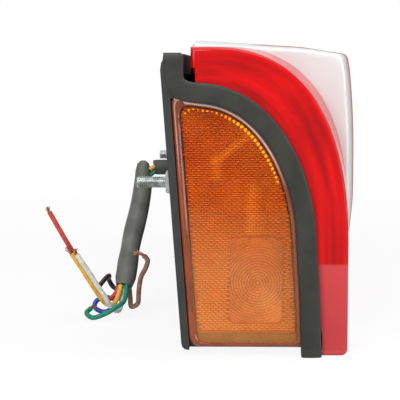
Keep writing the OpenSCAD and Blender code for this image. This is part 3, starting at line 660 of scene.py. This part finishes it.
x, y, z = (clear_rows.reshape(-1, 3) / MM).T
painted_red_in_face = rise(y, y_clear, y_clear + 55) * rise(x, 83, 86) * np.maximum(rise(z, 70, 64), 0.3)
painted_red_in_roof = rise(y, -128, -116) * rise(x, 40, 44) * rise(x, 84, 80) * (z > 62)
share = np.maximum(painted_red_in_face, 0.7 * painted_red_in_roof)
give_painted_light(clear, share)
# Painted reflection: the main lens's red is painted into the clear block's colour, and its transmission
# falls away there.
mix_by_painted_light(clear_plastic, (156, 18, 48), (0.22, 0.0))
clear_side = clear_plastic.copy()
clear_side.name = "clear_side"
clear_side.node_tree.nodes["Principled BSDF"].inputs["IOR"].default_value = 1.0
clear.data.materials.append(clear_side)
way = np.empty(len(clear.data.polygons) * 3)
clear.data.polygons.foreach_get("normal", way)
is_side = np.abs(way[1::3]) < 0.5
clear.data.polygons.foreach_set("material_index", is_side.astype(np.int32))
print("red shows at", int((share > 0).sum()), "of", len(share), "points")

# %% [markdown]
# ### Main lens
# The main lens is the same kind of shell. Its end face, at the far end, has an opening along the
# far seam.

# %% Main lens
beside_far_seam = 1.45
main_ys = np.linspace(y_main, y_far - end_r, 34)
main_rim = offset(main_out(y_far), -end_r)
far_edge = lens_side(far_seam, beside_far_seam, len(main_rim))
rows = [at_y(main_out(y), y) for y in main_ys[:-1]] + rounded_edge(main_out(y_far), y_far, -1, end_r)
rows += fill(main_rim, far_edge, y_far, 10) + [at_y(far_edge, y_far - wall)]
rows += fill(far_edge, offset(main_out(y_far), -wall), y_far - wall, 10)
rows += [at_y(offset(main_out(y), -wall), y) for y in main_ys[::-1][2:]]
skin("red_main_lens", np.stack(rows), "red_lens", ["red_main_lens"], loop_rows=True, loop_cols=False,
     cap_cols=True, material=red_plastic)

# %% [markdown]
# ## Side marker
# The side marker is an amber dish. Its rim has a rounded lip, and its flat pane lies in front of
# a plate of small reflecting prisms and of a ringed optic that spreads the bulb's light.

# %% Amber outline
tray_x, tray_lean, beside_tray, dish_top, dish_foot = 5.3, 4.3, 3.7, 46.3, -67.5


def amber_out(inset, count=320, soften=5):
    """Closed outline, offset inwards by inset: down the seam, along the foot, and up a line
    beside the tray's back; a running mean over a few points rounds its corners."""
    def back_x(z):
        return tray_x - math.tan(math.radians(tray_lean)) * z + beside_tray + inset

    s = offset(near_seam, -beside_seal - inset)
    foot = dish_foot + 0.5 * inset
    s = s[(s[:, 0] > back_x(s[:, 1])) & (s[:, 1] < dish_top) & (s[:, 1] > foot)]
    top = s[0][1] - 1.5
    p = np.vstack([[[back_x(top), top]], s, [[s[-1][0] + 0.9, foot]], [[back_x(foot), foot]],
                   [[back_x(top), top]]])
    q = resample(p, count + 1)[:-1]
    return sum(np.roll(q, k, axis=0) for k in range(-soften, soften + 1)) / (2 * soften + 1)


# %% [markdown]
# ### Amber dish
# The dish is one moulding of amber acrylic. Its rings run from the pane over the lip and down
# the outside, then up the inside to the pane's back, so it has a real thickness. The pane gets a
# clearer plastic of its own, because the prisms behind it have to show.

# %% Amber dish
pane_front, pane_back, dish_back, lip_r = -184.9, -183.5, -178.1, 1.3
lip = np.radians(np.linspace(0, 90, 6))
dish_shape = [(pane_front, 3.4), (pane_front, 3.1), (-185.4, 2.5), (y_amber, 1.75)]
dish_shape += [(y_amber + lip_r * (1 - math.sin(a)), lip_r * (1 - math.cos(a))) for a in lip[::-1]]
dish_shape += [(dish_back, 0), (dish_back, 2), (pane_back, 2)]
dish_rows = [at_y(amber_out(inset), y) for y, inset in dish_shape]
amber_plastic = finish("amber_acrylic", (186, 74, 10), (212, 96, 18), (0.03, 0.07), 80, 0.05, 600,
                       IOR=1.49, Specular_IOR_Level=0.5)
amber_pane = finish("amber_pane", (255, 214, 150), (255, 222, 165), (0.02, 0.04), 80, 0.03, 600,
                    IOR=1.12, Specular_IOR_Level=0.04)
# Painted light: the pane is less clear towards the foot, so more of its pale colour shows there.
clear_by_height(amber_pane, (-34 * MM, -2 * MM), (0.9, 0.985))
dish = skin("amber_dish", np.stack(dish_rows), "amber_lens", ["side_marker_lens"], cap_rows=True,
            material=amber_plastic, crease=30)
# The last two faces are the flat caps: the pane's front and back.
dish.data.materials.append(amber_pane)
for face in dish.data.polygons[-2:]:
    face.material_index = 1
# A painted highlight makes the dish's edge brightest along the top: on the crest of the lip at the
# back, and on the step inside the lip along the seal, which covers the crest there.
step_row, crest_row = 2, 4
crest_x, crest_z = dish_rows[crest_row][:, [0, 2]].T / MM
at_back = crest_x < 14 - 0.075 * crest_z
highlight_by_height = np.maximum(rise(crest_z, 2, 20), 0.1)
painted_highlight = np.zeros((len(dish_rows), len(highlight_by_height)))
painted_highlight[crest_row], painted_highlight[step_row] = 0.6 * highlight_by_height * at_back, 0.9 * highlight_by_height * ~at_back
give_painted_light(dish, painted_highlight)
mix_by_painted_light(amber_plastic, (255, 236, 226), (0.6, 0.0))

# %% [markdown]
# ### Reflex plate
# Behind the pane lies a plate with a window for the optic. It is a ring: at each angle about the
# window's middle it reaches from the window's edge to the plate's outline. Small four-sided
# prisms stand on it in staggered rows, as bricks in a wall, and a row of bright beads follows
# its curved edge. A plain strip closes it at the foot.

# %% Plate with a window
optic = np.array([43.5, -38.0])
optic_w, optic_h, optic_r, window_gap = 23.2, 37.5, 3, 0.2
angles = np.linspace(-np.pi, np.pi, 361)[:-1]


def reach_at(outline, a):
    """Distance from the window's middle to a closed outline, by angle."""
    d = outline - optic
    t, r = np.arctan2(d[:, 1], d[:, 0]), np.linalg.norm(d, axis=1)
    return np.interp(a, t[np.argsort(t)], r[np.argsort(t)], period=2 * np.pi)


def window(grow):
    """Round-cornered rectangle about the window's middle."""
    w, h, r = optic_w / 2 + grow, optic_h / 2 + grow, optic_r
    corners = [arc([sx * (w - r), sz * (h - r)], r, a, a + 90, 12)
               for sx, sz, a in ((1, 1, 0), (-1, 1, 90), (-1, -1, 180), (1, -1, 270))]
    return optic + resample(np.vstack(corners + [corners[0][:1]]), 500)


def polar(r):
    """Points at distance r from the window's middle, one at each angle."""
    return optic + r[:, None] * np.stack([np.cos(angles), np.sin(angles)], -1)


plate_front, plate_back, plate_foot = -182.6, -180.4, -61.7
plate_edge = amber_out(4)
plate_edge[:, 1] = np.maximum(plate_edge[:, 1], plate_foot)
outer, inner = polar(reach_at(plate_edge, angles)), polar(reach_at(window(window_gap), angles))
plate_rows = [at_y(outer, plate_front), at_y(inner, plate_front)]
plate_rows += [at_y(inner, plate_back), at_y(outer, plate_back)]


def reflex_tone(name, dark, light, glow):
    """Amber of one side of the prisms; goes over to the glow colour, painted light, by the attribute that
    holds the painted light.
    """
    m = finish(name, dark, light, (0.2, 0.35), 90, 0.05, 900, (1, 1, 0.6), Specular_IOR_Level=0.06)
    mix_by_painted_light(m, glow)
    return m


reflex_amber = reflex_tone("reflex_amber", (176, 74, 0), (198, 94, 0), (226, 150, 24))
# The shade and light tones are painted shade and painted light for the prisms' slopes.
reflex_painted_shade = reflex_tone("reflex_shade", (128, 42, 0), (158, 60, 0), (196, 112, 20))
reflex_painted_light = reflex_tone("reflex_painted_light", (214, 116, 0), (224, 148, 4), (244, 190, 44))
skin("reflex_plate", np.stack(plate_rows), "amber_reflex", ["reflex_reflector"], loop_rows=True,
     material=reflex_amber)

# %% Plain foot of the plate
foot_low, foot_high = -66.2, -62.0
foot_line = amber_out(3.4)
foot_line = foot_line[foot_line[:, 1] < -62.6]
left, right = foot_line[:, 0].min(), foot_line[:, 0].max()
corners = np.array([[left, foot_low], [right, foot_low], [right, foot_high], [left, foot_high]])
foot_tan = finish("foot_amber", (128, 92, 52), (146, 106, 66), (0.4, 0.55), 120, 0.05, 700,
                  Specular_IOR_Level=0.1)
skin("reflex_foot", np.stack([at_y(corners, plate_front), at_y(corners, plate_back)]), "amber_reflex",
     cap_rows=True, material=foot_tan)

# %% [markdown]
# ### Prisms
# There are too many prisms for an object each. One small solid is copied to all places at once
# by adding arrays, and those that would cross an edge of the plate are left out.

# %% Prisms
brick_w, brick_h, pitch_x, pitch_z, brick_rise = 2.3, 0.95, 2.46, 1.0, 0.62
first_x, first_z, row_lean, margin, sunk = 2, -61.2, 0.02, 0.9, 0.05
r, c = np.meshgrid(np.arange(112), np.arange(28), indexing="ij")
cx = (first_x + c * pitch_x + (r % 2) * pitch_x / 2 + row_lean * r).ravel()
cz = (first_z + r * pitch_z).ravel()
d = np.stack([cx, cz], -1) - optic
turn, dist = np.arctan2(d[:, 1], d[:, 0]), np.linalg.norm(d, axis=1)
inside = dist < reach_at(plate_edge, turn) - margin
keep = inside & (dist > reach_at(window(window_gap), turn) + margin)
centres = np.stack([cx, np.full(len(cx), plate_front), cz], -1)[keep]
w, h, ridge = brick_w / 2, brick_h / 2, brick_w / 2 - 0.5
brick = np.array([[-w, sunk, -h], [w, sunk, -h], [w, sunk, h], [-w, sunk, h],
                  [-ridge, -brick_rise, 0], [ridge, -brick_rise, 0]])
slopes = np.array([[0, 1, 5, 4], [2, 3, 4, 5]])
ends_and_back = np.array([[1, 2, 5], [3, 0, 4], [0, 3, 2], [0, 2, 1]])
points = ((centres[:, None] + brick[None]) * MM).reshape(-1, 3)
shift = (np.arange(len(centres)) * len(brick))[:, None, None]
faces = (slopes + shift).reshape(-1, 4).tolist() + (ends_and_back + shift).reshape(-1, 3).tolist()
prisms = piece("reflex_prisms", points, faces, "amber_reflex", material=reflex_amber, crease=20)
for tone in (reflex_painted_shade, reflex_painted_light):
    prisms.data.materials.append(tone)
# The two slopes of each prism look down and up, and get painted shade and painted light: a dark and a light
# copy of the amber.
side = np.concatenate([np.tile([1, 2], len(centres)), np.zeros(4 * len(centres), int)])
prisms.data.polygons.foreach_set("material_index", side.astype(np.int32))

# %% [markdown]
# ### Light on the prisms
# Light from above shows as a few streaks, and makes the prisms paler towards the foot.

# %% Streaks
def near_line(p, a, b, width):
    """exp(-(d / width)^2), with d the distance of points p from the stretch a to b."""
    a, b = np.array(a), np.array(b)
    t = np.clip(((p - a) @ (b - a)) / ((b - a) @ (b - a)), 0, 1)
    return np.exp(-(np.linalg.norm(p - a - t[:, None] * (b - a), axis=1) / width) ** 2)


flat = points[:, [0, 2]] / MM
streaks = [((41, 27), (25.5, 15.5), 1.5, 0.95), ((25.5, 15.5), (26, 8), 1.8, 0.6),
           ((41.5, 3.5), (41.5, -17), 2.6, 0.6)]
painted_light = 0.55 * rise(flat[:, 1], 8, -52)
for a, b, width, weight in streaks:
    painted_light += weight * near_line(flat, a, b, width)
give_painted_light(prisms, np.clip(painted_light, 0, 1))

# %% [markdown]
# ### Beads
# The beads are small domes that throw light back. A little glow of their own stands in for it,
# because no lamp shines from the camera.

# %% Beads
bead_count, on_seam = 28, slice(0, 150)
bead_line = amber_out(4.9)[on_seam]
bead_line = bead_line[(bead_line[:, 0] > 9) & (bead_line[:, 1] > 6)]
bead_at = resample(bead_line, bead_count)
bead_r = np.interp(np.linspace(0, 1, bead_count), [0, 0.3, 0.45, 0.8, 1], [0.5, 0.5, 0.85, 0.75, 0.6])
u, v = np.meshgrid(np.linspace(0, 2 * np.pi, 13)[:-1], np.radians([0, 25, 50, 72, 85]))
dome = np.stack([np.cos(u) * np.cos(v), -np.sin(v), np.sin(u) * np.cos(v)], -1)
beads = at_y(bead_at, plate_front)[:, None, None] + bead_r[:, None, None, None] * dome[None] * MM
bead_yellow = finish("bead_yellow", (255, 206, 20), (255, 230, 80), (0.15, 0.3), 400, 0.05, 900,
                     Emission_Color=srgb(255, 206, 30), Emission_Strength=0.6)
piece("reflex_beads", *many(beads), "amber_reflex", material=bead_yellow)

# %% [markdown]
# ### Ringed optic
# The optic is a stepped lens: its surface rises as a saw tooth with the distance from a point
# in front of the bulb. The surface is a fine grid over the round-cornered window, and a Solidify
# modifier gives it its thickness.

# %% Ringed optic
optic_cols, optic_rows, optic_front = 111, 171, -182.8
ring_x, ring_z, ring_pitch, ring_rise = 44.4, -38.9, 1.25, 0.6
s, t = np.meshgrid(np.linspace(-1, 1, optic_cols), np.linspace(-1, 1, optic_rows))
dx = s * optic_w / 2
over = np.clip(np.abs(dx) - (optic_w / 2 - optic_r), 0, optic_r)
dz = t * (optic_h / 2 - (optic_r - np.sqrt(optic_r**2 - over**2)))
ox, oz = optic[0] + dx, optic[1] + dz
ring = np.hypot(ox - ring_x, oz - ring_z) / ring_pitch
optic_points = np.stack([ox, optic_front - ring_rise * (ring % 1), oz], -1).reshape(-1, 3) * MM
optic_amber = finish("optic_amber", (208, 118, 70), (228, 138, 88), (0.15, 0.25), 200, 0.05, 900,
                     Transmission_Weight=0.1, IOR=1.49, Specular_IOR_Level=0.5)
optic_quads = quads(optic_rows, optic_cols, False, False).tolist()
stepped = piece("ringed_optic", optic_points, optic_quads, "amber_optic", ["side_marker_optic"],
                optic_amber, 25)
# Painted shade: each step is darker on its higher part, and the outer rings less so.
give_painted_light(stepped, rise(ring % 1, 0.45, 0.85) * np.interp(ring, [0, 9, 16], [0.9, 0.75, 0.35]))
mix_by_painted_light(optic_amber, (150, 66, 22))
solid = stepped.modifiers.new("thickness", "SOLIDIFY")
solid.thickness = 1.6 * MM
solid.offset = -1

# %% [markdown]
# ## Studs and nuts
# The lamp hangs on two zinc-plated M6 studs. A thread is a wave of the radius that climbs one
# pitch in a turn. The nut is a hexagon cut by two cones at its faces.

# %% Studs and nuts
zinc = finish("zinc_plate", (150, 154, 152), (206, 210, 208), (0.22, 0.4), 250, 0.15, 1200, Metallic=0.85)
stud_r, thread_pitch, thread_deep, tip_x, neck_x, head_x = 3.0, 1.0, 0.6, -14.3, 0.7, 10.4
flats_r, bore_r, head_deep, nut_deep = 5, 3.02, 4.0, 4.5


def about(y, x, r, u):
    """Points at depth x, radius r and angle u about the axis of the stud at y."""
    x, r, u = np.broadcast_arrays(x, r, u)
    return np.stack([x, y + r * np.cos(u), r * np.sin(u)], -1) * MM


for side, y in (("near", -110), ("far", 110)):
    u = np.linspace(0, 2 * np.pi, 29)[:-1]
    x = np.arange(tip_x, 0.6, 0.1)[:, None]
    wave = np.abs(((x / thread_pitch - u / (2 * np.pi)) % 1) * 2 - 1)
    thread_r = np.minimum(stud_r - thread_deep * wave, 2.3 + 0.9 * (x - tip_x))
    hexagon = flats_r / np.cos((u + np.pi / 6) % (np.pi / 3) - np.pi / 6)
    plain = [about(y, px, stud_r, u) for px in (neck_x, head_x)]
    head = [about(y, px, hexagon, u) for px in (head_x, head_x + head_deep)]
    skin(f"stud_{side}", np.concatenate([about(y, x, thread_r, u), np.stack(plain + head)]), "zinc",
         ["mounting_studs"], cap_rows=True, material=zinc, crease=32)

    u = np.linspace(0, 2 * np.pi, 73)[:-1] + np.pi / 2
    hexagon = flats_r / np.cos((u + np.pi / 2) % (np.pi / 3) - np.pi / 6)
    x = np.array([0, 0.35, 0.7, 3.8, 4.15, nut_deep])[:, None]
    cone = np.array([4.9, 5.3, 5.8, 5.8, 5.3, 4.9])[:, None]
    bore = np.stack([about(y, px, bore_r, u) for px in (nut_deep, 0)])
    skin(f"nut_{side}", np.concatenate([about(y, x, np.minimum(hexagon, cone), u), bore]), "zinc",
         ["stud_nuts"], loop_rows=True, material=zinc, crease=32)

# %% [markdown]
# ## The rest of the frame's pieces
# The tray, the gasket and what stands inside keep the frame's own shapes, and take moulded
# plastic, metallised plastic, glass, steel and laminate.

# %% Carried-over pieces
dress(finish("tray_plastic", (26, 26, 26), (38, 38, 37), (0.35, 0.55), 140, 0.3, 900), "housing")
dress(finish("gasket_rubber", (24, 24, 24), (34, 34, 33), (0.6, 0.75), 140, 0.3, 900),
      "lens_gasket", "cable_gland", "breather_vent")
dress(finish("metallised", (232, 226, 226), (246, 242, 242), (0.2, 0.32), 60, 0.05, 600, Metallic=0.35),
      "clear_reflector", "red_reflector")
dress(finish("white_moulding", (222, 220, 216), (238, 236, 232), (0.4, 0.55), 100, 0.1, 900),
      "chamber_divider")
dress(finish("clear_bulb_glass", (226, 228, 230), (240, 242, 244), (0.03, 0.08), 60, 0.02, 600,
             Transmission_Weight=0.7), "reverse_bulb", "stop_bulb", "tail_bulb", "fog_bulb")
dress(finish("amber_bulb_glass", (222, 120, 24), (240, 150, 48), (0.05, 0.1), 60, 0.02, 600,
             Transmission_Weight=0.5), "indicator_bulb", "side_marker_bulb")
dress(finish("holder_steel", (150, 150, 148), (190, 190, 188), (0.25, 0.4), 200, 0.1, 900, Metallic=0.9),
      "indicator_holder", "reverse_holder", "stop_holder", "tail_holder", "fog_holder")
dress(finish("socket_plastic", (70, 70, 68), (90, 90, 88), (0.4, 0.55), 140, 0.2, 900), "side_marker_holder")
dress(finish("board_laminate", (150, 118, 70), (176, 142, 90), (0.5, 0.65), 160, 0.2, 900, (1, 0.3, 1)),
      "contact_board")
dress(zinc, "reflector_screws")

# %% [markdown]
# ## Floor, background and light
# The photo has a plain white background and broad soft light from above and in front. The
# world's even white is for the camera, for reflections and for what shows through clear plastic,
# and the floor's for the camera and reflections. The light on the lamp comes from three broad
# lamps and a plain world. The floor keeps a faint shadow near the lamp and fades to even white.

# %% World
def by_ray(tree, kinds, seen, lit, out):
    """Rays of the given kinds meet the shader seen, all others the shader lit."""
    rays, pick = tree.nodes.new("ShaderNodeLightPath"), tree.nodes.new("ShaderNodeMixShader")
    share = rays.outputs[kinds[0]]
    for kind in kinds[1:]:
        either = tree.nodes.new("ShaderNodeMath")
        either.operation = "MAXIMUM"
        tree.links.new(share, either.inputs[0])
        link(tree, rays, kind, either, 1)
        share = either.outputs[0]
    tree.links.new(share, pick.inputs[0])
    link(tree, lit, 0, pick, 1)
    link(tree, seen, 0, pick, 2)
    link(tree, pick, 0, out, "Surface")


world = bpy.data.worlds.new("white_room")
world.use_nodes = True
scene.world = world
tree = world.node_tree
tree.nodes["Background"].inputs["Strength"].default_value = 0.95
white = tree.nodes.new("ShaderNodeEmission")
white.inputs["Strength"].default_value = 1.0
by_ray(tree, ["Is Camera Ray", "Is Glossy Ray", "Is Transmission Ray"], white, tree.nodes["Background"],
       tree.nodes["World Output"])

# %% Floor
floor_z = z_foot * MM
floor_corners = [(-4, -3, floor_z), (4, -3, floor_z), (4, 5, floor_z), (-4, 5, floor_z)]
floor_mesh = bpy.data.meshes.new("floor")
floor_mesh.from_pydata(floor_corners, [], [(0, 1, 2, 3)])
floor = bpy.data.objects.new("floor", floor_mesh)
scene.collection.objects.link(floor)
print("floor at", floor_z)
paper = bpy.data.materials.new("pale_paper")
paper.use_nodes = True
tree = paper.node_tree
matt = tree.nodes["Principled BSDF"]
matt.inputs["Base Color"].default_value = (0.9, 0.9, 0.9, 1)
matt.inputs["Roughness"].default_value = 0.9
veil, glow = tree.nodes.new("ShaderNodeMixShader"), tree.nodes.new("ShaderNodeEmission")
place, away = tree.nodes.new("ShaderNodeTexCoord"), tree.nodes.new("ShaderNodeVectorMath")
away.operation = "LENGTH"
link(tree, place, "Object", away, 0)
link(tree, spread(tree, away, "Value", (0.2, 0.7), (0.9, 1.0)), "Result", veil, 0)
link(tree, matt, 0, veil, 1)
link(tree, glow, 0, veil, 2)
by_ray(tree, ["Is Camera Ray", "Is Glossy Ray"], veil, matt, tree.nodes["Material Output"])
floor_mesh.materials.append(paper)

# %% [markdown]
# ### Lamps
# Large square lamps give the photo's soft shadows and wide reflections. Small ones would leave
# hard spots.

# %% Lamps
lit_point = Vector((0.03, -0.1, 0))


def soft_lamp(name, at, size, power):
    """Square lamp that faces the lit point, in the object's near half."""
    lamp = bpy.data.objects.new(name, bpy.data.lights.new(name, "AREA"))
    lamp.data.size, lamp.data.energy = size, power
    lamp.location = at
    lamp.rotation_euler = (lit_point - lamp.location).to_track_quat("-Z", "Y").to_euler()
    scene.collection.objects.link(lamp)
    print(name, power, "W")


soft_lamp("top_lamp", Vector((0.2, -0.3, 1.2)), 0.9, 12)
soft_lamp("front_lamp", Vector((-0.5, -1.3, 0.7)), 0.8, 12)
soft_lamp("side_lamp", Vector((1.3, -0.5, 0.3)), 0.8, 7)
